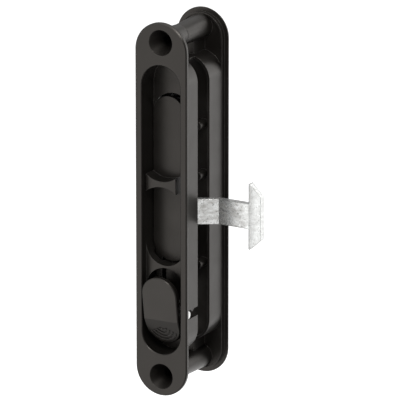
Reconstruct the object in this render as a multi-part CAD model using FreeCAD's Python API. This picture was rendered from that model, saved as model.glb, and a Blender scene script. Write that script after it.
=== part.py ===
import FreeCAD, Part
import math
import os

V = FreeCAD.Vector
MITRED = 1
SAME = 0.01
OVERLAP = 0.5

# Millimetres. +X points to the hook, +Y goes through the door to its outside, +Z is up.
# The origin lies on the door's inside face, midway between the two screws.

# Plates on the two faces of the door
SCREW_SPACING = 168.3
PLATE_SIDE = 2.4
PLATE_END = 9.85
PLATE_T = 2.0
PLATE_EDGE = 0.6

# Screw holes and bosses
SCREW_HOLE_D = 4.6
SINK_D = 12.9
SINK_DEPTH = 7.5
BOSS_ROOT_D = 13.2
BOSS_D = 10.9
BOSS_EDGE = 0.3
SEAM_Y = 16.1

# Finger cup of the inside plate
CUP_W = 21.4
CUP_END = 11.25
CUP_WALL = 1.1
CUP_DEPTH = 13.7
FLOOR_Y = 10.4
FLOOR_T = 1.5
MOUTH_EDGE = 0.35

# Window of the cup floor that the paddle fills
WINDOW_DROP = 16.3
WINDOW_RISE = 24.1

# Deck between the finger recess and the lever pocket
DECK_Y = 2.4
DECK_WEB = 1.2
DECK_SKIN = 1.6

# Latch paddle
PADDLE_GAP = 0.3
PADDLE_HOOK_GAP = 4.2
PADDLE_Y = 9.4
PADDLE_T = 2.2
PADDLE_TOP_GAP = 1.8
PADDLE_LIFT = 0.5
PADDLE_CORNER = 5.0
OPEN_ANGLE = 12.0
GRIP_Z = 12.4
GRIP_Y = 1.2
GRIP_END_H = 8.6
GRIP_WAIST_H = 3.0
GRIP_FALL = 0.35
GRIP_EDGE = 0.25

# Pivot of the paddle
PIVOT_Y = 14.0
PIVOT_PIN_D = 2.4
PIVOT_RUN = 0.06
PIVOT_SEAT = 0.02
EAR_R = 2.6
EAR_H = 6.0
LUG_H = 4.5
EAR_INSET = 1.3
EAR_GAP = 3.3
EAR_GAP_LOW = 1.9
PIN_INSET = 0.5

# Covers behind the two pivots
COVER_WALL = 1.1
COVER_ROOM = 0.8
COVER_SLANT_X = 9.8
COVER_BACK_X = 7.6
COVER_L = 12.0
COVER_FOOT_L = 25.0
COVER_FOOT_ROOM = 1.0

# Steel hook strap
STRAP_T = 3.2
STRAP_H = 12.7
STRAP_Z = -3.2
STRAP_TAIL_X = -9.2
STRAP_BEND_X = 3.1
STRAP_SLOPE = 29.0
STRAP_REACH_X = 19.5
STRAP_NECK_X = 36.6
STRAP_NECK_DROP = 0.8
STRAP_BOW = 0.28
STRAP_BEND_R = 1.0
HEAD_L = 7.2
HEAD_SLOPE = 9.5
HEAD_NECK_H = 34.6
HEAD_TIP_H = 22.0
HEAD_CORNER = 0.5

# Studs and push-on retainers that hold the strap on the paddle
STUD_D = 3.0
STUD_CLEAR = 0.1
STUD_X = (-6.6, -0.9)
STUD_END = 1.0
CLIP_D = 6.0
CLIP_SEAT = 0.02
CLIP_T = 0.4
CLIP_SLOTS = 4
CLIP_SLOT_W = 0.5
CLIP_SLOT_L = 1.2

# Return spring round the upper pivot pin
SPRING_WIRE_D = 0.6
SPRING_R = 1.75
SPRING_TURNS = 3
SPRING_PITCH = 0.8
SPRING_STEPS = 12
WIRE_FACES = 8
SPRING_ARM = 5.0
SPRING_DROP = 6.0
SPRING_SEAT = 0.1

# Lock lever
LEVER_PIVOT_Y = 4.7
LEVER_PIVOT_RISE = 20.0
LEVER_SIDE_GAP = 1.2
LEVER_TOP_RISE = 19.8
LEVER_TOP_Y = -5.6
LEVER_CREASE_DROP = 2.5
LEVER_CREASE_Y = -2.4
LEVER_END_DROP = 15.3
LEVER_END_Y = 3.6
LEVER_T = 3.0
LEVER_HUB_R = 5.2
LEVER_HUB_INSET = 1.0
LEVER_EDGE = 0.4
LEVER_RIDGES = 4
RIDGE_W = 0.8
RIDGE_H = 0.45
RIDGE_INSET = 1.4
RIDGE_SPREAD = 0.45

# Lever pin and the open notches that carry it
LEVER_PIN_D = 4.1
LEVER_PIN_RUN = 0.08
LEVER_PIN_SHORT = 0.1
LEVER_PIN_EDGE = 0.2
NOTCH_UP = 2.3
SNAP_LIP = 1.1
SNAP_LIP_Y = 2.2
SNAP_LIP_L = 2.9

# Lock tongue of the paddle and nose of the lever
TONGUE_X = -7.3
TONGUE_W = 3.4
TONGUE_END_RISE = 9.4
TONGUE_ROOM = 0.6
NOSE_GAP = 1.8
NOSE_H = 3.0

# Leaf spring that clicks the lever into its two places
LEAF_W = 5.0
LEAF_T = 0.5
LEAF_TOP_RISE = 6.6
LEAF_END_DROP = 15.6
LEAF_GAP = 0.15
LEAF_HUMP_H = 5.0
LEAF_ROOM = 0.9
DETENT_ANGLE = 16.0
DETENT_DEPTH = 0.5
RIVET_D = 3.0
RIVET_HEAD_D = 5.2
RIVET_HEAD_T = 0.9
RIVET_EDGE = 0.4
RIVET_DROP = 11.6

# Outside plate
OUTER_Y = 40.6
OUTER_EDGE = 1.4
OUTER_SHORT = 0.8
STEP_INSET = 2.2
STEP_T = 1.6
RIM_W = 0.8
RIM_H = 1.0
OUTER_CUP_END = 11.5
OUTER_CUP_WALL = 1.2
OUTER_RIM_Y = 25.4
OUTER_FLOOR_Y = 28.0
OUTER_FLOOR_T = 1.8
OUTER_MOUTH_EDGE = 0.8
POST_ROOT_D = 12.4
POST_D = 10.6
PILOT_D = 3.4
PILOT_END = 1.5
RIB_T = 4.0
RIB_Y = 27.5
TAB_W = 7.2
TAB_H = 5.3
TAB_EDGE = 0.8
SMALL_BOSS_D = 4.7
SMALL_BOSS_X = 7.4
SMALL_BOSS_RISE = 7.2
SMALL_BOSS_Z = (38.5, 13.2, -31.8)

PLATE_W = CUP_W + 2 * CUP_WALL + 2 * PLATE_SIDE
PLATE_H = SCREW_SPACING + 2 * PLATE_END
CUP_H = SCREW_SPACING - 2 * CUP_END
CUP_R = CUP_W / 2
LEVER_PIVOT_Z = LEVER_PIVOT_RISE - CUP_H / 2
WINDOW_TOP = CUP_H / 2 - WINDOW_DROP
WINDOW_BOTTOM = LEVER_PIVOT_Z + WINDOW_RISE
RECESS_END_Z = WINDOW_BOTTOM + CUP_R
POCKET_END_Z = WINDOW_BOTTOM - DECK_WEB - CUP_R
FLOOR_BACK = FLOOR_Y + FLOOR_T
PADDLE_W = CUP_W - PADDLE_GAP - PADDLE_HOOK_GAP
PADDLE_R = PADDLE_W / 2
PADDLE_X = PADDLE_GAP + PADDLE_R - CUP_R
PADDLE_BACK = PADDLE_Y + PADDLE_T
PADDLE_TOP = WINDOW_TOP - PADDLE_TOP_GAP
PADDLE_END_R = CUP_R - PADDLE_GAP
PADDLE_ARC_Z = RECESS_END_Z + PADDLE_LIFT
PADDLE_END_Z = PADDLE_ARC_Z - PADDLE_END_R
STRAP_BACK = PADDLE_BACK + STRAP_T
UPPER_EAR_TOP = PADDLE_TOP - EAR_INSET
UPPER_LUG_Z = UPPER_EAR_TOP + EAR_GAP
LOWER_EAR_Z = PADDLE_END_Z + EAR_INSET
LOWER_LUG_TOP = LOWER_EAR_Z - EAR_GAP_LOW
TONGUE_END_Z = LEVER_PIVOT_Z + TONGUE_END_RISE
LEVER_W = CUP_W - 2 * LEVER_SIDE_GAP
LEVER_HUB_W = LEVER_W - 2 * LEVER_HUB_INSET
RIDGE_PITCH = (LEVER_W / 2 - RIDGE_INSET - RIDGE_W) / LEVER_RIDGES
LEVER_TOP_Z = LEVER_PIVOT_Z + LEVER_TOP_RISE
LEVER_CREASE_Z = LEVER_PIVOT_Z - LEVER_CREASE_DROP
LEVER_END_Z = LEVER_PIVOT_Z - LEVER_END_DROP
LEAF_TOP_Z = LEVER_PIVOT_Z + LEAF_TOP_RISE
LEAF_END_Z = LEVER_PIVOT_Z - LEAF_END_DROP
RIVET_Z = LEVER_PIVOT_Z - RIVET_DROP
SCREW_Z = SCREW_SPACING / 2
OUTER_H = PLATE_H - 2 * OUTER_SHORT
OUTER_CUP_W = PLATE_W - 2 * STEP_INSET
OUTER_CUP_H = SCREW_SPACING - 2 * OUTER_CUP_END


def arc(a, b, c):
    return Part.Arc(a, b, c).toShape()


def line(a, b):
    return Part.LineSegment(a, b).toShape()


def obround(width, height, y0, y1, x=0.0, z=0.0):
    """An upright slot shape, extruded from y0 to y1."""
    r = width / 2
    h = height / 2 - r
    left_top = V(x - r, y0, z + h)
    right_top = V(x + r, y0, z + h)
    left_end = V(x - r, y0, z - h)
    right_end = V(x + r, y0, z - h)
    edges = [
        arc(left_top, V(x, y0, z + h + r), right_top),
        line(right_top, right_end),
        arc(right_end, V(x, y0, z - h - r), left_end),
        line(left_end, left_top),
    ]
    return Part.Face(Part.Wire(edges)).extrude(V(0, y1 - y0, 0))


def block(x0, x1, y0, y1, z0, z1):
    return Part.makeBox(x1 - x0, y1 - y0, z1 - z0, V(x0, y0, z0))


def rod_x(d, x0, x1, y, z):
    return Part.makeCylinder(d / 2, x1 - x0, V(x0, y, z), V(1, 0, 0))


def rod_y(d, y0, y1, x, z):
    return Part.makeCylinder(d / 2, y1 - y0, V(x, y0, z), V(0, 1, 0))


def rod_z(d, z0, z1, x, y):
    return Part.makeCylinder(d / 2, z1 - z0, V(x, y, z0), V(0, 0, 1))


def tapered_rod(d0, d1, y0, y1, z):
    """A round boss on the part's middle line, d0 wide at y0 and d1 wide at y1."""
    return Part.makeCone(d0 / 2, d1 / 2, y1 - y0, V(0, y0, z), V(0, 1, 0))


def side_prism(points, x0, x1):
    """A closed outline of (y, z) points, extruded from x0 to x1."""
    corners = [V(x0, y, z) for y, z in points]
    wire = Part.makePolygon(corners + corners[:1])
    return Part.Face(wire).extrude(V(x1 - x0, 0, 0))


def edges_on(shape, y, outline_of=None):
    """Edges that lie wholly at depth y, near the outline of another shape if one is given."""
    found = []
    for edge in shape.Edges:
        box = edge.BoundBox
        if abs(box.YMin - y) > 1e-4 or abs(box.YMax - y) > 1e-4:
            continue
        middle = edge.valueAt((edge.FirstParameter + edge.LastParameter) / 2)
        if outline_of is None or outline_of.distToShape(Part.Vertex(middle))[0] < 1e-4:
            found.append(edge)
    return found


def outline_at(width, height, y):
    """The wire of an upright slot shape at depth y."""
    flat = obround(width, height, y, y + 1)
    return Part.Wire(Part.__sortEdges__(edges_on(flat, y)))


def write(name, shape):
    shape = shape.removeSplitter()
    shape.exportStep(os.path.join("parts", name + ".step"))
    print(name, len(shape.Solids), round(shape.Volume, 1), shape.isValid())


def deck():
    """The hourglass web between the recess and the lever pocket, cored from behind."""
    full = block(-CUP_R, CUP_R, DECK_Y, FLOOR_BACK, POCKET_END_Z, RECESS_END_Z)
    core = block(-CUP_R, CUP_R, DECK_Y + DECK_SKIN, FLOOR_BACK, POCKET_END_Z, RECESS_END_Z)
    for z in (RECESS_END_Z, POCKET_END_Z):
        full = full.cut(rod_y(CUP_W, DECK_Y, FLOOR_BACK, 0, z))
        core = core.cut(rod_y(CUP_W + 2 * DECK_WEB, DECK_Y, FLOOR_BACK, 0, z))
    return full.cut(core)


def cup_floor():
    wide = CUP_W + CUP_WALL
    plate = obround(wide, CUP_H + CUP_WALL, FLOOR_Y, FLOOR_BACK)
    middle = (WINDOW_TOP + WINDOW_BOTTOM) / 2
    window = obround(CUP_W, WINDOW_TOP - WINDOW_BOTTOM, FLOOR_Y, FLOOR_BACK, 0, middle)
    pin_way = block(
        -CUP_R, CUP_R, FLOOR_Y, FLOOR_BACK, LEVER_PIVOT_Z - NOTCH_UP, LEVER_PIVOT_Z + NOTCH_UP
    )
    half = LEAF_W / 2 + LEAF_ROOM
    reach = LEAF_HUMP_H + LEAF_ROOM
    leaf_way = block(-half, half, FLOOR_Y, FLOOR_BACK, LEVER_PIVOT_Z - reach, LEVER_PIVOT_Z + reach)
    rivet_hole = rod_y(RIVET_D, FLOOR_Y, FLOOR_BACK, 0, RIVET_Z)
    return plate.cut(window).cut(pin_way).cut(leaf_way).cut(rivet_hole)


def tongue_way():
    """Room behind the deck for the paddle's lock tongue and its swing."""
    half = TONGUE_W / 2 + TONGUE_ROOM
    turn = math.sin(math.radians(OPEN_ANGLE))
    forward = turn * (PADDLE_X - TONGUE_X + TONGUE_W / 2)
    sideways = turn * (PIVOT_Y - PADDLE_Y)
    return block(
        TONGUE_X - half,
        TONGUE_X + half + sideways,
        PADDLE_Y - TONGUE_ROOM - forward,
        FLOOR_BACK,
        TONGUE_END_Z - TONGUE_ROOM,
        RECESS_END_Z,
    )


def pivot_lug(z0, z1):
    """An eye on the back of the floor that carries one pivot pin."""
    eye = rod_z(2 * EAR_R, z0, z1, PADDLE_X, PIVOT_Y)
    foot = block(PADDLE_X - EAR_R, PADDLE_X + EAR_R, FLOOR_BACK - FLOOR_T / 2, PIVOT_Y, z0, z1)
    hole = rod_z(PIVOT_PIN_D + 2 * PIVOT_SEAT, z0, z1, PADDLE_X, PIVOT_Y)
    return eye.fuse(foot).cut(hole)


def cover_prism(wall, z0, z1):
    """The plan of a pivot cover, drawn in by its wall: slanted on the hook's side."""
    back = PIVOT_Y + EAR_R + COVER_ROOM + COVER_WALL - wall
    points = [
        V(-CUP_R - CUP_WALL + wall, FLOOR_BACK - FLOOR_T / 2, z0),
        V(-CUP_R - CUP_WALL + wall, back, z0),
        V(COVER_BACK_X + COVER_WALL - wall, back, z0),
        V(COVER_SLANT_X + COVER_WALL - wall, CUP_DEPTH, z0),
        V(COVER_SLANT_X + COVER_WALL - wall, FLOOR_BACK - FLOOR_T / 2, z0),
    ]
    return Part.Face(Part.makePolygon(points + points[:1])).extrude(V(0, 0, z1 - z0))


def pivot_cover(z_open, z_shut):
    """A box behind a pivot that shuts the window's end, open towards the strap."""
    inner_end = z_shut - COVER_WALL if z_shut > z_open else z_shut + COVER_WALL
    shell = cover_prism(0, min(z_open, z_shut), max(z_open, z_shut))
    room = cover_prism(COVER_WALL, min(z_open, inner_end), max(z_open, inner_end))
    return shell.cut(room)


def pin_notches():
    """Two notches, open to the back, that let the lever pin in from behind."""
    seat = LEVER_PIN_D + 2 * LEVER_PIN_RUN
    outer = CUP_R + CUP_WALL
    cut = rod_x(seat, -outer, outer, LEVER_PIVOT_Y, LEVER_PIVOT_Z)
    way = block(
        -outer,
        outer,
        LEVER_PIVOT_Y,
        CUP_DEPTH,
        LEVER_PIVOT_Z - seat / 2,
        LEVER_PIVOT_Z + NOTCH_UP,
    )
    return cut.fuse(way)


def snap_lips():
    """Small lips on the upper edges of the notches that keep the pin in."""
    top = LEVER_PIVOT_Z + NOTCH_UP
    y = LEVER_PIVOT_Y + SNAP_LIP_Y
    points = [
        (y, top + SNAP_LIP),
        (y, top),
        (y + 0.2 * SNAP_LIP_L, top - SNAP_LIP),
        (y + 0.5 * SNAP_LIP_L, top - SNAP_LIP),
        (y + SNAP_LIP_L, top),
        (y + SNAP_LIP_L, top + SNAP_LIP),
    ]
    outer = CUP_R + CUP_WALL
    return [side_prism(points, CUP_R, outer), side_prism(points, -outer, -CUP_R)]


def inside_housing():
    plate = obround(PLATE_W, PLATE_H, -PLATE_T, 0)
    plate = plate.makeChamfer(PLATE_EDGE, edges_on(plate, -PLATE_T))
    outer_w = CUP_W + 2 * CUP_WALL
    outer_h = CUP_H + 2 * CUP_WALL
    body = plate.fuse(obround(outer_w, outer_h, -PLATE_T / 2, CUP_DEPTH))
    for z in (SCREW_Z, -SCREW_Z):
        boss = tapered_rod(BOSS_ROOT_D, BOSS_D, -PLATE_T / 2, SEAM_Y, z)
        body = body.fuse(boss.makeChamfer(BOSS_EDGE, edges_on(boss, SEAM_Y)))
    body = body.cut(obround(CUP_W, CUP_H, -PLATE_T, CUP_DEPTH))
    mouth = outline_at(CUP_W, CUP_H, -PLATE_T)
    body = body.makeChamfer(MOUTH_EDGE, edges_on(body, -PLATE_T, mouth))
    body = body.fuse([cup_floor(), deck()])
    upper_shut = UPPER_LUG_Z + LUG_H + COVER_WALL
    lower_shut = TONGUE_END_Z - COVER_FOOT_ROOM - COVER_WALL
    body = body.fuse(pivot_cover(upper_shut - COVER_L, upper_shut))
    body = body.fuse(pivot_cover(lower_shut + COVER_FOOT_L, lower_shut))
    body = body.cut(tongue_way()).cut(pin_notches())
    body = body.fuse(snap_lips())
    body = body.fuse(pivot_lug(UPPER_LUG_Z, UPPER_LUG_Z + LUG_H))
    body = body.fuse(pivot_lug(LOWER_LUG_TOP - LUG_H, LOWER_LUG_TOP))
    for z in (SCREW_Z, -SCREW_Z):
        sink = Part.makeCone(
            SINK_D / 2, SCREW_HOLE_D / 2, SINK_DEPTH, V(0, -PLATE_T, z), V(0, 1, 0)
        )
        body = body.cut(sink).cut(rod_y(SCREW_HOLE_D, -PLATE_T, SEAM_Y, 0, z))
    return body


def paddle_plate():
    """The pad: round at the top, and at the bottom it follows the recess wall."""
    left = PADDLE_X - PADDLE_R
    right = PADDLE_X + PADDLE_R
    y = PADDLE_Y
    shoulder = PADDLE_TOP - PADDLE_R
    drop = math.sqrt(PADDLE_END_R**2 - right**2)
    corner = V(right, y, PADDLE_ARC_Z - drop)
    middle = V(0, y, PADDLE_END_Z)
    edges = [
        arc(V(left, y, shoulder), V(PADDLE_X, y, PADDLE_TOP), V(right, y, shoulder)),
        line(V(right, y, shoulder), corner),
        arc(corner, middle, V(left, y, PADDLE_ARC_Z)),
        line(V(left, y, PADDLE_ARC_Z), V(left, y, shoulder)),
    ]
    plate = Part.Face(Part.Wire(edges)).extrude(V(0, PADDLE_T, 0))
    upright = [
        e
        for e in plate.Edges
        if e.BoundBox.YLength > PADDLE_T / 2 and (e.Vertexes[0].Point - corner).Length < PADDLE_T + 1
    ]
    return plate.makeFillet(PADDLE_CORNER, upright)


def grip():
    """The bow-tie rib: wide at both ends, waisted in the middle, its left half falling back."""
    half = PADDLE_R
    sag = (GRIP_END_H - GRIP_WAIST_H) / 2
    y0 = GRIP_Y
    x0 = PADDLE_X - half
    x1 = PADDLE_X + half
    end = GRIP_END_H / 2
    waist = GRIP_END_H / 2 - sag
    edges = [
        arc(V(x0, y0, GRIP_Z + end), V(PADDLE_X, y0, GRIP_Z + waist), V(x1, y0, GRIP_Z + end)),
        line(V(x1, y0, GRIP_Z + end), V(x1, y0, GRIP_Z - end)),
        arc(V(x1, y0, GRIP_Z - end), V(PADDLE_X, y0, GRIP_Z - waist), V(x0, y0, GRIP_Z - end)),
        line(V(x0, y0, GRIP_Z - end), V(x0, y0, GRIP_Z + end)),
    ]
    rib = Part.Face(Part.Wire(edges)).extrude(V(0, PADDLE_Y + PADDLE_T / 2 - y0, 0))
    rib = rib.makeChamfer(GRIP_EDGE, edges_on(rib, y0))
    fall = [V(x0, y0, 0), V(PADDLE_X, y0, 0), V(x0, y0 + GRIP_FALL, 0)]
    wedge = Part.Face(Part.makePolygon(fall + fall[:1])).extrude(V(0, 0, GRIP_END_H))
    wedge.translate(V(0, 0, GRIP_Z - end))
    return rib.cut(wedge)


def paddle_ear(z0, z1):
    eye = rod_z(2 * EAR_R, z0, z1, PADDLE_X, PIVOT_Y)
    foot = block(PADDLE_X - EAR_R, PADDLE_X + EAR_R, PADDLE_Y + PADDLE_T / 2, PIVOT_Y, z0, z1)
    return eye.fuse(foot)


def latch_paddle():
    body = paddle_plate().fuse(grip())
    ears = ((UPPER_EAR_TOP - EAR_H, UPPER_EAR_TOP), (LOWER_EAR_Z, LOWER_EAR_Z + EAR_H))
    for z0, z1 in ears:
        body = body.fuse(paddle_ear(z0, z1))
    stud_end = STRAP_BACK + CLIP_T + STUD_END
    for x in STUD_X:
        body = body.fuse(rod_y(STUD_D, PADDLE_BACK - OVERLAP, stud_end, x, STRAP_Z))
    half = TONGUE_W / 2
    tongue = block(
        TONGUE_X - half, TONGUE_X + half, PADDLE_Y, PADDLE_BACK, TONGUE_END_Z, RECESS_END_Z
    )
    body = body.fuse(tongue)
    hole = PIVOT_PIN_D + 2 * PIVOT_RUN
    for z0, z1 in ears:
        body = body.cut(rod_z(hole, z0, z1, PADDLE_X, PIVOT_Y))
    return body


def strap_outline():
    """The strap seen from above: tail on the paddle, first bend, second bend, bowed arm, head."""
    t = STRAP_T
    slope = math.radians(STRAP_SLOPE)
    rise = (STRAP_REACH_X - STRAP_BEND_X) * math.tan(slope)
    tail = V(STRAP_TAIL_X, PADDLE_BACK, 0)
    bend = V(STRAP_BEND_X, PADDLE_BACK, 0)
    reach = V(STRAP_REACH_X, PADDLE_BACK + rise, 0)
    neck = V(STRAP_NECK_X, reach.y - STRAP_NECK_DROP, 0)
    chord = neck - reach
    across = V(-chord.y, chord.x, 0).normalize()
    bow = (reach + neck) * 0.5 + across * STRAP_BOW
    head = math.radians(HEAD_SLOPE)
    tip = neck + V(HEAD_L * math.cos(head), -HEAD_L * math.sin(head), 0)
    bend_back = bend + V(-t * math.tan(slope / 2), t, 0)
    arm = math.atan2(chord.y, chord.x)
    lean = (slope + arm) / 2
    spread = t / math.cos((slope - arm) / 2)
    reach_back = reach + V(-spread * math.sin(lean), spread * math.cos(lean), 0)
    lean = (arm - head) / 2
    neck_back = neck + V(-t * math.sin(lean), t * math.cos(lean), 0)
    tip_back = tip + V(t * math.sin(head), t * math.cos(head), 0)
    edges = [
        line(tail, bend),
        line(bend, reach),
        arc(reach, bow, neck),
        line(neck, tip),
        line(tip, tip_back),
        line(tip_back, neck_back),
        arc(neck_back, bow + across * t, reach_back),
        line(reach_back, bend_back),
        line(bend_back, tail + V(0, t, 0)),
        line(tail + V(0, t, 0), tail),
    ]
    return Part.Face(Part.Wire(edges)), neck


def hook_strap():
    face, neck = strap_outline()
    tall = face.extrude(V(0, 0, HEAD_NECK_H))
    tall.translate(V(0, 0, STRAP_Z - HEAD_NECK_H / 2))
    head_end = neck.x + HEAD_L * math.cos(math.radians(HEAD_SLOPE))
    half = STRAP_H / 2
    wide = HEAD_NECK_H / 2
    narrow = HEAD_TIP_H / 2
    points = [
        (STRAP_TAIL_X - 1, half),
        (neck.x, half),
        (neck.x, wide),
        (head_end + STRAP_T, narrow - STRAP_T * (wide - narrow) / HEAD_L),
    ]
    points += [(x, -z) for x, z in reversed(points)]
    depth = tall.BoundBox.YLength + 2
    corners = [V(x, tall.BoundBox.YMin - 1, STRAP_Z + z) for x, z in points]
    mask = Part.Face(Part.makePolygon(corners + corners[:1])).extrude(V(0, depth, 0))
    strap = tall.common(mask)
    for x in STUD_X:
        strap = strap.cut(rod_y(STUD_D + 2 * STUD_CLEAR, PADDLE_BACK, STRAP_BACK, x, STRAP_Z))
    tips = [
        e
        for e in strap.Edges
        if e.BoundBox.XMin > neck.x - 1 and e.BoundBox.XLength < STRAP_T / 2 and e.BoundBox.ZLength < SAME
    ]
    strap = strap.makeFillet(HEAD_CORNER, tips)
    bends = [
        e
        for e in strap.Edges
        if e.BoundBox.ZLength > STRAP_H - SAME
        and STRAP_BEND_X - STRAP_T < e.BoundBox.XMin < STRAP_REACH_X + 1
        and e.BoundBox.XLength < SAME
    ]
    return strap.makeFillet(STRAP_BEND_R, bends)


def strap_clips():
    """Push-on retainers: thin rings with radial slots, a hair clear of the studs."""
    rings = []
    bore = STUD_D + 2 * CLIP_SEAT
    for x in STUD_X:
        ring = rod_y(CLIP_D, STRAP_BACK, STRAP_BACK + CLIP_T, x, STRAP_Z)
        ring = ring.cut(rod_y(bore, STRAP_BACK, STRAP_BACK + CLIP_T, x, STRAP_Z))
        for n in range(CLIP_SLOTS):
            half = CLIP_SLOT_W / 2
            slot = block(x, x + bore / 2 + CLIP_SLOT_L, STRAP_BACK, STRAP_BACK + CLIP_T, -half, half)
            slot.rotate(V(x, 0, 0), V(0, 1, 0), n * 360 / CLIP_SLOTS)
            slot.translate(V(0, 0, STRAP_Z))
            ring = ring.cut(slot)
        rings.append(ring)
    return Part.makeCompound(rings)


def pivot_pin(z0, z1):
    """A plain steel pin on the paddle's axis."""
    return rod_z(PIVOT_PIN_D, z0, z1, PADDLE_X, PIVOT_Y)


def return_spring():
    """A coil round the upper pin, one arm on the paddle's back and one on the floor's back."""
    z0 = UPPER_EAR_TOP + SPRING_SEAT + SPRING_WIRE_D / 2
    y = PIVOT_Y - SPRING_R
    path = [V(PADDLE_X + SPRING_ARM, y, z0 - SPRING_DROP), V(PADDLE_X + SPRING_ARM, y, z0)]
    for n in range(SPRING_TURNS * SPRING_STEPS + 1):
        turn = n / SPRING_STEPS
        angle = -math.pi / 2 - 2 * math.pi * turn
        x = PADDLE_X + SPRING_R * math.cos(angle)
        path.append(V(x, PIVOT_Y + SPRING_R * math.sin(angle), z0 + SPRING_PITCH * turn))
    path.append(V(PADDLE_X - SPRING_ARM, y, z0 + SPRING_TURNS * SPRING_PITCH))
    r = SPRING_WIRE_D / 2
    section = []
    for n in range(WIRE_FACES):
        angle = 2 * math.pi * (n + 0.5) / WIRE_FACES
        section.append(path[0] + V(r * math.cos(angle), r * math.sin(angle), 0))
    outline = Part.makePolygon(section + section[:1])
    return Part.makePolygon(path).makePipeShell([outline], True, False, MITRED)


def lever_blade():
    """The two-facet face of the lever, with the outline of a slot."""
    front = [
        (LEVER_TOP_Y, LEVER_TOP_Z),
        (LEVER_CREASE_Y, LEVER_CREASE_Z),
        (LEVER_END_Y, LEVER_END_Z),
    ]
    back = [(y + LEVER_T, z) for y, z in reversed(front)]
    tall = LEVER_TOP_Z - LEVER_END_Z
    middle = (LEVER_TOP_Z + LEVER_END_Z) / 2
    half = LEVER_W / 2
    blade = side_prism(front + back, -half, half)
    shape = obround(LEVER_W, tall, LEVER_TOP_Y - 1, LEVER_END_Y + LEVER_T + 1, 0, middle)
    blade = blade.common(shape)
    rounded = []
    for edge in blade.Edges:
        at = edge.valueAt((edge.FirstParameter + edge.LastParameter) / 2)
        if at.z > LEVER_CREASE_Z:
            share = (LEVER_TOP_Z - at.z) / (LEVER_TOP_Z - LEVER_CREASE_Z)
            y = LEVER_TOP_Y + share * (LEVER_CREASE_Y - LEVER_TOP_Y)
        else:
            share = (LEVER_CREASE_Z - at.z) / (LEVER_CREASE_Z - LEVER_END_Z)
            y = LEVER_CREASE_Y + share * (LEVER_END_Y - LEVER_CREASE_Y)
        on_front = abs(at.y - y) < 1e-3
        crease = edge.BoundBox.XLength > LEVER_W - SAME and edge.BoundBox.ZLength < SAME
        if on_front and not crease:
            rounded.append(edge)
    return blade.makeChamfer(LEVER_EDGE, rounded)


def lever_ridges():
    """Arched grip ridges on the lower facet, concentric with the lever's round end."""
    slope = math.atan2(LEVER_END_Y - LEVER_CREASE_Y, LEVER_CREASE_Z - LEVER_END_Z)
    centre = LEVER_END_Z + LEVER_W / 2
    ridges = []
    for n in range(LEVER_RIDGES):
        r = LEVER_W / 2 - RIDGE_INSET - n * RIDGE_PITCH
        outer = rod_y(2 * r, LEVER_CREASE_Y - 2, LEVER_END_Y + 1, 0, centre)
        inner = rod_y(2 * (r - RIDGE_W), LEVER_CREASE_Y - 2, LEVER_END_Y + 1, 0, centre)
        ring = outer.cut(inner)
        top = centre - RIDGE_SPREAD * r
        ring = ring.common(block(-LEVER_W, LEVER_W, -LEVER_W, LEVER_W, LEVER_END_Z, top))
        skin = [
            (LEVER_CREASE_Y - RIDGE_H / math.cos(slope), LEVER_CREASE_Z),
            (LEVER_END_Y - RIDGE_H / math.cos(slope), LEVER_END_Z),
            (LEVER_END_Y + 1, LEVER_END_Z),
            (LEVER_CREASE_Y + 1, LEVER_CREASE_Z),
        ]
        ridges.append(ring.common(side_prism(skin, -LEVER_W, LEVER_W)))
    return ridges


def lock_lever():
    half = LEVER_HUB_W / 2
    hub = rod_x(2 * LEVER_HUB_R, -half, half, LEVER_PIVOT_Y, LEVER_PIVOT_Z)
    neck = block(
        -half,
        half,
        LEVER_CREASE_Y + LEVER_T / 2,
        LEVER_PIVOT_Y,
        LEVER_PIVOT_Z - LEVER_HUB_R,
        LEVER_PIVOT_Z + LEVER_HUB_R,
    )
    nose_half = TONGUE_W / 2
    rocked = math.radians(DETENT_ANGLE)
    arm = TONGUE_END_Z + NOSE_H - LEVER_PIVOT_Z
    reach = PADDLE_Y - NOSE_GAP - LEVER_PIVOT_Y - arm * math.sin(rocked)
    nose_end = LEVER_PIVOT_Y + reach / math.cos(rocked)
    nose = block(
        TONGUE_X - nose_half,
        TONGUE_X + nose_half,
        LEVER_TOP_Y + LEVER_T / 2,
        nose_end,
        LEVER_PIVOT_Z + arm - NOSE_H,
        LEVER_PIVOT_Z + arm,
    )
    body = lever_blade().fuse([hub, neck])
    body = body.fuse(nose)
    body = body.fuse(lever_ridges())
    body = body.cut(rod_x(LEVER_PIN_D, -half, half, LEVER_PIVOT_Y, LEVER_PIVOT_Z))
    for angle in (0.0, DETENT_ANGLE):
        y = LEVER_PIVOT_Y + LEVER_HUB_R - DETENT_DEPTH
        groove = side_prism(
            [(y, 0), (y + 2 * DETENT_DEPTH, 2 * DETENT_DEPTH), (y + 2 * DETENT_DEPTH, -2 * DETENT_DEPTH)],
            -half,
            half,
        )
        groove.translate(V(0, 0, LEVER_PIVOT_Z))
        groove.rotate(V(0, LEVER_PIVOT_Y, LEVER_PIVOT_Z), V(1, 0, 0), angle)
        body = body.cut(groove)
    return body


def lock_pin():
    half = CUP_R + CUP_WALL - LEVER_PIN_SHORT
    pin = rod_x(LEVER_PIN_D, -half, half, LEVER_PIVOT_Y, LEVER_PIVOT_Z)
    return pin.makeChamfer(LEVER_PIN_EDGE, [e for e in pin.Edges if e.BoundBox.XLength < SAME])


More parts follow.
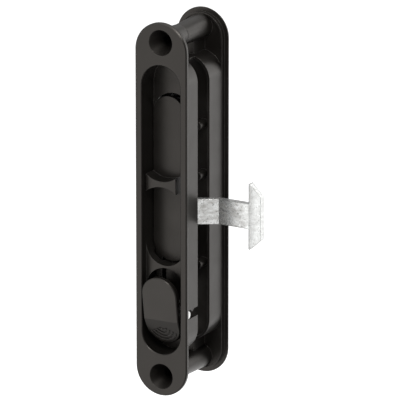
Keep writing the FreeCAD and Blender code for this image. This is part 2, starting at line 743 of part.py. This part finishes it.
def detent_spring():
    tip = LEVER_PIVOT_Y + LEVER_HUB_R + LEAF_GAP
    y0 = FLOOR_BACK
    y1 = FLOOR_BACK + LEAF_T
    z = LEVER_PIVOT_Z
    h = LEAF_HUMP_H
    points = [
        (y0, LEAF_END_Z),
        (y0, z - h),
        (tip, z - LEAF_T),
        (tip, z + LEAF_T),
        (y0, z + h),
        (y0, LEAF_TOP_Z),
        (y1, LEAF_TOP_Z),
        (y1, z + h + LEAF_T / 2),
        (tip + LEAF_T, z + LEAF_T),
        (tip + LEAF_T, z - LEAF_T),
        (y1, z - h - LEAF_T / 2),
        (y1, LEAF_END_Z),
    ]
    leaf = side_prism(points, -LEAF_W / 2, LEAF_W / 2)
    return leaf.cut(rod_y(RIVET_D, FLOOR_BACK, y1, 0, RIVET_Z))


def detent_rivet():
    seat = FLOOR_BACK + LEAF_T
    shank = rod_y(RIVET_D, FLOOR_Y, seat, 0, RIVET_Z)
    head = rod_y(RIVET_HEAD_D, seat, seat + RIVET_HEAD_T, 0, RIVET_Z)
    head = head.makeChamfer(RIVET_EDGE, edges_on(head, seat + RIVET_HEAD_T))
    return shank.fuse(head)


def outside_pull():
    back = OUTER_Y + PLATE_T
    plate = obround(PLATE_W, OUTER_H, OUTER_Y, back)
    plate = plate.makeChamfer(OUTER_EDGE, edges_on(plate, back))
    step_y = OUTER_Y - STEP_T
    step_h = OUTER_H - 2 * STEP_INSET
    step = obround(OUTER_CUP_W, step_h, step_y - RIM_H, OUTER_Y + PLATE_T / 2)
    step = step.cut(obround(OUTER_CUP_W - 2 * RIM_W, step_h - 2 * RIM_W, step_y - RIM_H, step_y))
    cup = obround(OUTER_CUP_W, OUTER_CUP_H, OUTER_RIM_Y, OUTER_Y)
    body = plate.fuse([step, cup])
    bore_w = OUTER_CUP_W - 2 * OUTER_CUP_WALL
    bore_h = OUTER_CUP_H - 2 * OUTER_CUP_WALL
    body = body.cut(obround(bore_w, bore_h, OUTER_RIM_Y, OUTER_FLOOR_Y))
    body = body.cut(obround(bore_w, bore_h, OUTER_FLOOR_Y + OUTER_FLOOR_T, back))
    mouth = outline_at(bore_w, bore_h, back)
    body = body.makeChamfer(OUTER_MOUTH_EDGE, edges_on(body, back, mouth))
    adds = []
    for side in (1, -1):
        z = side * SCREW_Z
        post = tapered_rod(POST_D, POST_ROOT_D, SEAM_Y, OUTER_Y, z)
        adds.append(post.makeChamfer(BOSS_EDGE, edges_on(post, SEAM_Y)))
        inner = side * (OUTER_CUP_H / 2 - OUTER_CUP_WALL / 2)
        adds.append(
            block(-RIB_T / 2, RIB_T / 2, RIB_Y, step_y + OVERLAP, min(inner, z), max(inner, z))
        )
        adds.append(end_tab(side))
    for z in SMALL_BOSS_Z:
        for x in (SMALL_BOSS_X, -SMALL_BOSS_X):
            y = OUTER_FLOOR_Y - SMALL_BOSS_RISE
            adds.append(rod_y(SMALL_BOSS_D, y, OUTER_FLOOR_Y + OUTER_FLOOR_T / 2, x, z))
    body = body.fuse(adds)
    for z in (SCREW_Z, -SCREW_Z):
        body = body.cut(rod_y(PILOT_D, SEAM_Y, OUTER_Y - PILOT_END, 0, z))
    return body


def end_tab(side):
    """A tab that rises from the cup's end wall and enters the cut-out of the door."""
    y0 = OUTER_RIM_Y - TAB_H
    wall = obround(OUTER_CUP_W, OUTER_CUP_H, y0, OUTER_RIM_Y + 1)
    wall = wall.cut(
        obround(
            OUTER_CUP_W - 2 * OUTER_CUP_WALL, OUTER_CUP_H - 2 * OUTER_CUP_WALL, y0, OUTER_RIM_Y + 1
        )
    )
    z = side * OUTER_CUP_H / 2
    half = TAB_W / 2
    tab = wall.common(block(-half, half, y0, OUTER_RIM_Y + 1, min(z, 0), max(z, 0)))
    corners = [
        e
        for e in tab.Edges
        if e.BoundBox.YMax < y0 + 1e-4 and e.BoundBox.XLength < SAME
    ]
    return tab.makeChamfer(TAB_EDGE, corners)


def main():
    os.makedirs("parts", exist_ok=True)
    write("inside_housing", inside_housing())
    write("latch_paddle", latch_paddle())
    write("hook_strap", hook_strap())
    write("strap_clips", strap_clips())
    write("upper_pivot_pin", pivot_pin(UPPER_EAR_TOP - EAR_H + PIN_INSET, UPPER_LUG_Z + LUG_H))
    write("lower_pivot_pin", pivot_pin(LOWER_LUG_TOP - LUG_H, LOWER_EAR_Z + EAR_H - PIN_INSET))
    write("return_spring", return_spring())
    write("lock_lever", lock_lever())
    write("lock_pin", lock_pin())
    write("detent_spring", detent_spring())
    write("detent_rivet", detent_rivet())
    write("outside_pull", outside_pull())


main()
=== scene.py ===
import math

import bpy
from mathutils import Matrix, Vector


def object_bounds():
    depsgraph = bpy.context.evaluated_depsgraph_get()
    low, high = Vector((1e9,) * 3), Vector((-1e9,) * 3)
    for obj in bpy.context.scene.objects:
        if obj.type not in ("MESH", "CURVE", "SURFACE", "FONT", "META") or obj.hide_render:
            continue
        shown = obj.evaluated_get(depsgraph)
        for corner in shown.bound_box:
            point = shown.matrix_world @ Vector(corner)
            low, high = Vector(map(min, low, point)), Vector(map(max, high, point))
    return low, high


bl_info = {
    "name": "Screen door latch",
    "version": (1, 0, 0),
    "blender": (4, 5, 0),
    "location": "View3D > Sidebar > Latch",
    "description": "Finishes the moulded and plated pieces of a screen door latch and sets its studio",
    "category": "Object",
}

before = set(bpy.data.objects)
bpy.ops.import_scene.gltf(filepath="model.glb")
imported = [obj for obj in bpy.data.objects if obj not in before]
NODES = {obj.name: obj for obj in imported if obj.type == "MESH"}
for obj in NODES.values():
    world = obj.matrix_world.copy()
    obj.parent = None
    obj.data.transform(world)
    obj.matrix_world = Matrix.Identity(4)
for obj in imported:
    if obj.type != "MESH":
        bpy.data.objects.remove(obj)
CAD_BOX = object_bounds()

MOULDED = ("inside_housing", "outside_pull", "latch_paddle", "lock_lever")
PLATED = ("hook_strap", "lock_pin", "upper_pivot_pin", "lower_pivot_pin")
SPRUNG = ("strap_clips", "return_spring", "detent_spring", "detent_rivet")

# Rubbed edges, also given painted light along them (a pale highlight on plastic, a dark outline on
# steel): lengths in metres, noise in cells per metre
EDGE_SAMPLES = 6
EDGE_COSINES = (0.995, 0.8)  # between the plain and the rounded normal: no mask, full mask
RUB_CLOUD = 260.0
RUB_SPAN = (0.35, 0.65)
PLASTIC_EDGE = {"Radius": 0.00028, "Patchiness": 0.45}
STEEL_EDGE = {"Radius": 0.0005, "Patchiness": 0.35}

# Moulded skin: noise in cells per metre
GRAINS = 1900.0
FLOW_MARKS = 60.0
FLOW_STRETCH = (1.0, 1.0, 0.25)
FLOW_SHARE = 0.8  # of the grain's height
HAZE_CLOUD = 90.0
HAZE_SPAN = (0.35, 0.7)
HAZE_COLOUR = (1.35, 0.001)  # times the plastic's colour, plus this
EDGE_WEAR_AND_HIGHLIGHT_COLOUR = (2.0, 0.06)  # the same, for a rubbed edge, made paler also as a painted highlight along the edges
GLOSS_RANGE = (-0.03, 0.05)  # added to the roughness: no haze, full haze
EDGE_GLOSS = -0.07  # added to the roughness of a rubbed edge
PLASTIC_IOR = 1.5
PLASTIC_RELIEF = (0.25, 0.00004)  # strength, height in metres

# Plated skin: noise in cells per metre
STAIN_CLOUD = 420.0
STAIN_STRETCH = (0.6, 0.6, 1.2)
STAIN_SPAN = (0.36, 0.68)
ROLLING_LINES = 900.0
LINE_STRETCH = (0.12, 0.12, 1.0)
GRIT = 2600.0
GRIT_SHARE = 0.4  # of the lines' height
PITS = 1100.0
PIT_SPAN = (0.6, 0.76)
PIT_COLOUR = 0.45  # times the stain's colour
# Times the stain's colour, for a rubbed steel edge, darkened also as a painted dark outline (painted
# shade)
STEEL_EDGE_WEAR_AND_SHADE = 0.5
STEEL_RELIEF = (0.35, 0.00006)  # strength, height in metres
ZINC_ROUGHNESS = (0.2, 0.34)  # clean, stained
SPRING_ROUGHNESS = (0.26, 0.4)
SPRING_STAIN = 0.75  # times the spring steel's colour

# Stain and pits fade along X towards the strap's head: places in metres, shares left there
FADE_FROM_TO = (0.031, 0.038)
FADE_LEVELS = (1.0, 0.4)

# Studio
WHITE = (1.0, 1.0, 1.0, 1.0)
FLOOR_SIZE = 8.0
FLOOR_COLOUR = (0.93, 0.93, 0.93, 1.0)
FLOOR_ROUGHNESS = 0.9
FLOOR_SHINE = 0.1
SENSOR_WIDTH = 36.0
CLIP_END = 50.0

# Soft panels of light in the world: (towards, full within degrees, gone beyond degrees, level)
PANELS = (
    ((0.0, -0.90, -0.46), 22.0, 55.0, 0.65),
    ((-0.76, -0.54, -0.40), 21.0, 42.0, 0.85),
    ((0.35, 0.7, -0.75), 25.0, 55.0, 1.2),
    ((-0.35, -0.1, 0.93), 28.0, 62.0, 0.6),
    ((0.15, 0.85, 0.45), 15.0, 42.0, 0.35),
)

# Area lamps: (name, place, point aimed at, side in metres, watts)
LAMPS = (
    ("overhead_softbox", (0.1, -0.2, 1.1), (0.0, 0.0, 0.0), 1.4, 6.0),
    ("back_softbox", (0.8, 1.1, 0.35), (0.0, 0.02, 0.0), 1.0, 4.0),
    ("key_softbox", (0.38, -0.45, 0.68), (0.0, 0.0, 0.0), 0.22, 3.0),
)


# Node helpers


def feed(tree, socket, value):
    """Links an output to an input socket, or sets the value that the socket holds."""
    if isinstance(value, bpy.types.NodeSocket):
        tree.links.new(value, socket)
    else:
        socket.default_value = value


def new_group(name, inputs, outputs):
    """A shader node group with its input and output nodes. Inputs are (name, default)."""
    tree = bpy.data.node_groups.new(name, "ShaderNodeTree")
    for label, value in inputs:
        socket = tree.interface.new_socket(label, in_out="INPUT", socket_type="NodeSocketFloat")
        socket.default_value = value
    for label, kind in outputs:
        tree.interface.new_socket(label, in_out="OUTPUT", socket_type=kind)
    return tree, tree.nodes.new("NodeGroupInput"), tree.nodes.new("NodeGroupOutput")


def group_in(tree, name, build, **values):
    """The named group placed in a material's tree, built the first time it is used."""
    node = tree.nodes.new("ShaderNodeGroup")
    node.node_tree = bpy.data.node_groups.get(name) or build()
    for label, value in values.items():
        node.inputs[label].default_value = value
    return node


def math_node(tree, kind, a, b):
    """The result of a Math node whose inputs are numbers or sockets."""
    node = tree.nodes.new("ShaderNodeMath")
    node.operation = kind
    feed(tree, node.inputs[0], a)
    feed(tree, node.inputs[1], b)
    return node.outputs[0]


def dot_product(tree, a, b):
    """The dot product of two vectors or sockets."""
    node = tree.nodes.new("ShaderNodeVectorMath")
    node.operation = "DOT_PRODUCT"
    feed(tree, node.inputs[0], a)
    feed(tree, node.inputs[1], b)
    return node.outputs["Value"]


def span(tree, value, source, target=(0.0, 1.0), shape="LINEAR"):
    """A value mapped from one range to another and held inside it."""
    node = tree.nodes.new("ShaderNodeMapRange")
    node.interpolation_type = shape
    tree.links.new(value, node.inputs["Value"])
    for label, (low, high) in (("From", source), ("To", target)):
        node.inputs[label + " Min"].default_value = low
        node.inputs[label + " Max"].default_value = high
    return node.outputs["Result"]


def noise(tree, vector, scale, detail, stretch=None):
    """A noise texture on object coordinates, stretched along the axes if asked."""
    if stretch:
        turn = tree.nodes.new("ShaderNodeMapping")
        turn.inputs["Scale"].default_value = stretch
        tree.links.new(vector, turn.inputs["Vector"])
        vector = turn.outputs["Vector"]
    node = tree.nodes.new("ShaderNodeTexNoise")
    node.inputs["Detail"].default_value = detail
    tree.links.new(vector, node.inputs["Vector"])
    feed(tree, node.inputs["Scale"], scale)
    return node.outputs["Fac"]


def object_coordinates(tree):
    return tree.nodes.new("ShaderNodeTexCoord").outputs["Object"]


def rgba(colour, times=1.0, plus=0.0):
    """A colour made paler or darker, with full alpha."""
    return (*(channel * times + plus for channel in colour), 1.0)


def blend_colour(tree, mask, low, high):
    """Two colours or sockets mixed by a mask."""
    node = tree.nodes.new("ShaderNodeMix")
    node.data_type = "RGBA"
    tree.links.new(mask, node.inputs["Factor"])
    feed(tree, node.inputs["A"], low)
    feed(tree, node.inputs["B"], high)
    return node.outputs["Result"]


def relief(tree, shader, height, normal, strength, distance):
    """Gives a shader a bump that starts from the rounded normal."""
    bump = tree.nodes.new("ShaderNodeBump")
    bump.inputs["Strength"].default_value = strength
    bump.inputs["Distance"].default_value = distance
    tree.links.new(height, bump.inputs["Height"])
    tree.links.new(normal, bump.inputs["Normal"])
    tree.links.new(bump.outputs["Normal"], shader.inputs["Normal"])


# Node groups


def edge_rub_and_light_group():
    """Where a piece's sharp edges are: a mask for their wear and their painted light, and a normal
    that rounds them.
    """
    tree, ins, outs = new_group(
        "Edge rub and painted edge light",
        PLASTIC_EDGE.items(),
        [("Mask", "NodeSocketFloat"), ("Normal", "NodeSocketVector")],
    )
    rounded = tree.nodes.new("ShaderNodeBevel")
    rounded.samples = EDGE_SAMPLES
    tree.links.new(ins.outputs["Radius"], rounded.inputs["Radius"])
    plain = tree.nodes.new("ShaderNodeNewGeometry")
    cosine = dot_product(tree, rounded.outputs["Normal"], plain.outputs["Normal"])
    edge = span(tree, cosine, EDGE_COSINES)
    cloud = noise(tree, object_coordinates(tree), RUB_CLOUD, detail=3.0)
    patch = span(tree, cloud, RUB_SPAN)
    drop = math_node(tree, "MULTIPLY", patch, ins.outputs["Patchiness"])
    keep = math_node(tree, "SUBTRACT", 1.0, drop)
    tree.links.new(math_node(tree, "MULTIPLY", edge, keep), outs.inputs["Mask"])
    tree.links.new(rounded.outputs["Normal"], outs.inputs["Normal"])
    return tree


def moulded_skin_group():
    """Fine spark grain, faint flow marks and handling haze of a moulded surface."""
    tree, ins, outs = new_group(
        "Moulded skin",
        [("Grain", GRAINS), ("Haze", HAZE_CLOUD)],
        [("Grain Height", "NodeSocketFloat"), ("Haze Mask", "NodeSocketFloat")],
    )
    here = object_coordinates(tree)
    fine = noise(tree, here, ins.outputs["Grain"], detail=2.0)
    flow = noise(tree, here, FLOW_MARKS, detail=2.0, stretch=FLOW_STRETCH)
    height = math_node(tree, "ADD", fine, math_node(tree, "MULTIPLY", flow, FLOW_SHARE))
    tree.links.new(height, outs.inputs["Grain Height"])
    cloud = noise(tree, here, ins.outputs["Haze"], detail=4.0)
    tree.links.new(span(tree, cloud, HAZE_SPAN), outs.inputs["Haze Mask"])
    return tree


def plated_skin_group():
    """Zinc plate on rolled steel: rolling lines, cloudy stain and small pits."""
    tree, ins, outs = new_group(
        "Plated skin",
        [("Cloud", STAIN_CLOUD), ("Lines", ROLLING_LINES)],
        [("Stain", "NodeSocketFloat"), ("Height", "NodeSocketFloat"), ("Pit", "NodeSocketFloat")],
    )
    here = object_coordinates(tree)
    cloud = noise(tree, here, ins.outputs["Cloud"], detail=5.0, stretch=STAIN_STRETCH)
    tree.links.new(span(tree, cloud, STAIN_SPAN), outs.inputs["Stain"])
    lines = noise(tree, here, ins.outputs["Lines"], detail=2.0, stretch=LINE_STRETCH)
    grit = noise(tree, here, GRIT, detail=1.0)
    both = math_node(tree, "ADD", lines, math_node(tree, "MULTIPLY", grit, GRIT_SHARE))
    tree.links.new(both, outs.inputs["Height"])
    pits = noise(tree, here, PITS, detail=1.0)
    tree.links.new(span(tree, pits, PIT_SPAN), outs.inputs["Pit"])
    return tree


# Materials


def surface(name):
    """An empty material with its tree and its Principled shader."""
    material = bpy.data.materials.new(name)
    material.use_nodes = True
    return material, material.node_tree, material.node_tree.nodes["Principled BSDF"]


def moulded_black(name, colour, tint, roughness, grain):
    """Black moulded plastic with a fine satin grain."""
    material, tree, shader = surface(name)
    skin = group_in(tree, "Moulded skin", moulded_skin_group, Grain=grain)
    edge = group_in(tree, "Edge rub and painted edge light", edge_rub_and_light_group, **PLASTIC_EDGE)
    haze = skin.outputs["Haze Mask"]
    hazed = blend_colour(tree, haze, rgba(colour), rgba(colour, *HAZE_COLOUR))
    # Rubbed edges, made paler also as a painted highlight along the edges
    worn_and_edge_painted = blend_colour(tree, edge.outputs["Mask"], hazed, rgba(colour, *EDGE_WEAR_AND_HIGHLIGHT_COLOUR))
    tree.links.new(worn_and_edge_painted, shader.inputs["Base Color"])
    rough = span(tree, haze, (0.0, 1.0), [roughness + change for change in GLOSS_RANGE])
    smooth = math_node(tree, "MULTIPLY", edge.outputs["Mask"], EDGE_GLOSS)
    tree.links.new(math_node(tree, "ADD", rough, smooth), shader.inputs["Roughness"])
    shader.inputs["IOR"].default_value = PLASTIC_IOR
    shader.inputs["Specular Tint"].default_value = rgba(tint)
    relief(tree, shader, skin.outputs["Grain Height"], edge.outputs["Normal"], *PLASTIC_RELIEF)
    return material


def plated_steel(name, colour, dull, metallic, roughness):
    """Plate or bare steel: cloudy and pitted, less so towards the strap's head."""
    material, tree, shader = surface(name)
    skin = group_in(tree, "Plated skin", plated_skin_group)
    edge = group_in(tree, "Edge rub and painted edge light", edge_rub_and_light_group, **STEEL_EDGE)
    place = tree.nodes.new("ShaderNodeSeparateXYZ")
    tree.links.new(object_coordinates(tree), place.inputs[0])
    fade = span(tree, place.outputs["X"], FADE_FROM_TO, FADE_LEVELS)
    stain = math_node(tree, "MULTIPLY", skin.outputs["Stain"], fade)
    pit = math_node(tree, "MULTIPLY", skin.outputs["Pit"], fade)
    stained = blend_colour(tree, stain, rgba(colour), rgba(dull))
    pitted = blend_colour(tree, pit, stained, rgba(dull, PIT_COLOUR))
    # Rubbed edges, darkened also as a painted dark outline (painted shade) along the edges
    worn_and_edge_painted = blend_colour(tree, edge.outputs["Mask"], pitted, rgba(dull, STEEL_EDGE_WEAR_AND_SHADE))
    tree.links.new(worn_and_edge_painted, shader.inputs["Base Color"])
    shader.inputs["Metallic"].default_value = metallic
    tree.links.new(span(tree, stain, (0.0, 1.0), roughness), shader.inputs["Roughness"])
    relief(tree, shader, skin.outputs["Height"], edge.outputs["Normal"], *STEEL_RELIEF)
    return material


def finish(names, material):
    """Gives CAD pieces a material as their only one."""
    for name in names:
        slots = NODES[name].data.materials
        slots.clear()
        slots.append(material)


def clear_selection():
    bpy.ops.object.select_all(action="DESELECT")


# Settings


class LatchFinish(bpy.types.PropertyGroup):
    plastic_colour: bpy.props.FloatVectorProperty(
        name="Plastic colour",
        description="Colour of the moulded pieces",
        subtype="COLOR",
        size=3,
        min=0.0,
        max=1.0,
        default=(0.0060, 0.0053, 0.0046),
    )
    plastic_sheen: bpy.props.FloatVectorProperty(
        name="Plastic sheen",
        description="Tint of the light that the moulded skin throws back",
        subtype="COLOR",
        size=3,
        min=0.0,
        max=1.0,
        default=(1.0, 0.93, 0.86),
    )
    plastic_roughness: bpy.props.FloatProperty(
        name="Plastic roughness",
        description="Roughness of the moulded skin, from mirror to matt",
        subtype="FACTOR",
        min=0.1,
        max=0.9,
        default=0.36,
    )
    plastic_grain: bpy.props.FloatProperty(
        name="Grain count",
        description="How many grains of the moulded skin there are in a metre",
        min=500.0,
        max=5000.0,
        default=GRAINS,
    )
    zinc_colour: bpy.props.FloatVectorProperty(
        name="Zinc colour",
        description="Colour of clean zinc plate",
        subtype="COLOR",
        size=3,
        min=0.0,
        max=1.0,
        default=(0.82, 0.83, 0.82),
    )
    zinc_stain: bpy.props.FloatVectorProperty(
        name="Zinc stain",
        description="Colour of the clouds on the plate",
        subtype="COLOR",
        size=3,
        min=0.0,
        max=1.0,
        default=(0.52, 0.51, 0.49),
    )
    zinc_metallic: bpy.props.FloatProperty(
        name="Zinc metallic",
        description="How much of the plate reflects as bare metal, the rest being its dull film",
        subtype="FACTOR",
        min=0.0,
        max=1.0,
        default=0.82,
    )
    # Kept dark also as painted shade, so that the spring pieces seen in the gap above the paddle read
    # as black
    spring_colour_and_shade: bpy.props.FloatVectorProperty(
        name="Spring steel",
        description="Colour of the springs, retainers and rivet",
        subtype="COLOR",
        size=3,
        min=0.0,
        max=1.0,
        default=(0.06, 0.06, 0.062),
    )


class LatchStudio(bpy.types.PropertyGroup):
    azimuth: bpy.props.FloatProperty(
        name="Azimuth",
        description="How far the camera stands round to the hook's side",
        subtype="ANGLE",
        default=math.radians(28.634),
    )
    elevation: bpy.props.FloatProperty(
        name="Elevation",
        description="Height of the camera above the horizon",
        subtype="ANGLE",
        default=math.radians(15.67),
    )
    distance: bpy.props.FloatProperty(
        name="Distance",
        description="From the camera to the point it looks at",
        subtype="DISTANCE",
        unit="LENGTH",
        min=0.3,
        default=2.4,
    )
    target: bpy.props.FloatVectorProperty(
        name="Looks at",
        description="The point in the middle of the picture",
        subtype="TRANSLATION",
        unit="LENGTH",
        size=3,
        default=(0.01597, 0.00844, 0.0053),
    )
    lens: bpy.props.FloatProperty(
        name="Lens",
        description="Focal length in millimetres on a 36 mm wide sensor",
        min=20.0,
        default=444.65,
    )
    floor_drop: bpy.props.FloatProperty(
        name="Floor drop",
        description="From the latch's lower end down to the studio floor",
        subtype="DISTANCE",
        unit="LENGTH",
        min=0.0,
        default=0.12,
    )
    floor_glow: bpy.props.FloatProperty(
        name="Floor glow",
        description="Light added to the floor so that it is white outside the shadow",
        min=0.0,
        max=2.0,
        default=0.4,
    )
    world_level: bpy.props.FloatProperty(
        name="World level",
        description="Strength of the even light all round, under the soft panels",
        min=0.0,
        max=2.0,
        default=0.3,
    )


# Operators


class LATCH_OT_moulded(bpy.types.Operator):
    """Give the moulded pieces their black satin plastic"""

    bl_idname = "latch.moulded"
    bl_label = "Moulded pieces"

    def execute(self, context):
        s = context.scene.latch_finish
        black = moulded_black(
            "Moulded black", s.plastic_colour, s.plastic_sheen, s.plastic_roughness, s.plastic_grain
        )
        finish(MOULDED, black)
        return {"FINISHED"}


class LATCH_OT_plated(bpy.types.Operator):
    """Give the hook strap and the pins their bright zinc plate"""

    bl_idname = "latch.plated"
    bl_label = "Plated pieces"

    def execute(self, context):
        s = context.scene.latch_finish
        zinc = plated_steel("Zinc plate", s.zinc_colour, s.zinc_stain, s.zinc_metallic, ZINC_ROUGHNESS)
        finish(PLATED, zinc)
        return {"FINISHED"}


class LATCH_OT_sprung(bpy.types.Operator):
    """Give the springs, retainers and rivet their spring steel, made dark also as painted shade in the
    gap above the paddle
    """

    bl_idname = "latch.sprung"
    bl_label = "Spring steel pieces"

    def execute(self, context):
        colour = context.scene.latch_finish.spring_colour_and_shade
        dull = [channel * SPRING_STAIN for channel in colour]
        steel = plated_steel("Spring steel", colour, dull, metallic=1.0, roughness=SPRING_ROUGHNESS)
        finish(SPRUNG, steel)
        return {"FINISHED"}


class LATCH_OT_studio(bpy.types.Operator):
    """Set the pale floor, the soft lamps, the white world and the camera"""

    bl_idname = "latch.studio"
    bl_label = "Studio"

    def execute(self, context):
        s = context.scene.latch_studio
        self.make_floor(s)
        self.make_world(context, s)
        self.make_lamps()
        self.make_camera(context, s)
        context.scene.view_settings.view_transform = "Standard"
        return {"FINISHED"}

    def make_floor(self, s):
        clear_selection()
        lowest = CAD_BOX[0].z - s.floor_drop
        bpy.ops.mesh.primitive_plane_add(size=FLOOR_SIZE, location=(0.0, 0.0, lowest))
        floor = bpy.context.active_object
        floor.name = "studio_floor"
        bpy.ops.object.transform_apply(location=True, rotation=True, scale=True)
        material, tree, shader = surface("Pale floor")
        shader.inputs["Base Color"].default_value = FLOOR_COLOUR
        shader.inputs["Emission Color"].default_value = WHITE
        shader.inputs["Emission Strength"].default_value = s.floor_glow
        shader.inputs["Roughness"].default_value = FLOOR_ROUGHNESS
        shader.inputs["Specular IOR Level"].default_value = FLOOR_SHINE
        floor.data.materials.append(material)
        floor.visible_glossy = False
        floor.visible_diffuse = False

    def make_world(self, context, s):
        """Even light with soft panels in it, and plain white where the camera sees the world."""
        world = bpy.data.worlds.new("Studio world")
        world.use_nodes = True
        tree = world.node_tree
        towards = tree.nodes.new("ShaderNodeTexCoord").outputs["Generated"]
        level = s.world_level
        for axis, full, gone, strength in PANELS:
            cosine = dot_product(tree, towards, Vector(axis).normalized())
            edges = [math.cos(math.radians(angle)) for angle in (gone, full)]
            panel = span(tree, cosine, edges, (0.0, strength), "SMOOTHSTEP")
            level = math_node(tree, "ADD", panel, level)
        lit = tree.nodes["Background"]
        lit.inputs["Color"].default_value = WHITE
        tree.links.new(level, lit.inputs["Strength"])
        white = tree.nodes.new("ShaderNodeBackground")
        white.inputs["Color"].default_value = WHITE
        rays = tree.nodes.new("ShaderNodeLightPath")
        mix = tree.nodes.new("ShaderNodeMixShader")
        tree.links.new(rays.outputs["Is Camera Ray"], mix.inputs["Fac"])
        tree.links.new(lit.outputs[0], mix.inputs[1])
        tree.links.new(white.outputs[0], mix.inputs[2])
        tree.links.new(mix.outputs[0], tree.nodes["World Output"].inputs["Surface"])
        context.scene.world = world

    def make_lamps(self):
        for name, place, aim, size, power in LAMPS:
            clear_selection()
            bpy.ops.object.light_add(type="AREA", location=place)
            lamp = bpy.context.active_object
            lamp.name = name
            lamp.data.size = size
            lamp.data.energy = power
            towards = Vector(aim) - Vector(place)
            lamp.rotation_euler = towards.to_track_quat("-Z", "Y").to_euler()

    def make_camera(self, context, s):
        ca, sa = math.cos(s.azimuth), math.sin(s.azimuth)
        ce, se = math.cos(s.elevation), math.sin(s.elevation)
        forward = Vector((-sa * ce, ca * ce, -se))
        clear_selection()
        bpy.ops.object.camera_add(location=Vector(s.target) - forward * s.distance)
        camera = bpy.context.active_object
        camera.name = "studio_camera"
        camera.rotation_euler = forward.to_track_quat("-Z", "Y").to_euler()
        camera.data.lens = s.lens
        camera.data.sensor_width = SENSOR_WIDTH
        camera.data.clip_end = CLIP_END
        context.scene.camera = camera


class LATCH_PT_panel(bpy.types.Panel):
    """Lists the latch's finishing steps and their settings"""

    bl_idname = "LATCH_PT_panel"
    bl_label = "Screen door latch"
    bl_space_type = "VIEW_3D"
    bl_region_type = "UI"
    bl_category = "Latch"

    def draw(self, context):
        column = self.layout.column()
        for step in STEPS:
            column.operator(step.bl_idname)
        for group in (context.scene.latch_finish, context.scene.latch_studio):
            for name in group.__annotations__:
                column.prop(group, name)


STEPS = (LATCH_OT_moulded, LATCH_OT_plated, LATCH_OT_sprung, LATCH_OT_studio)
CLASSES = (LatchFinish, LatchStudio, *STEPS, LATCH_PT_panel)


def register():
    for cls in CLASSES:
        bpy.utils.register_class(cls)
    bpy.types.Scene.latch_finish = bpy.props.PointerProperty(type=LatchFinish)
    bpy.types.Scene.latch_studio = bpy.props.PointerProperty(type=LatchStudio)


def unregister():
    del bpy.types.Scene.latch_studio
    del bpy.types.Scene.latch_finish
    for cls in reversed(CLASSES):
        bpy.utils.unregister_class(cls)


def main():
    register()
    bpy.ops.latch.moulded()
    bpy.ops.latch.plated()
    bpy.ops.latch.sprung()
    bpy.ops.latch.studio()


if __name__ == "__main__":
    main()
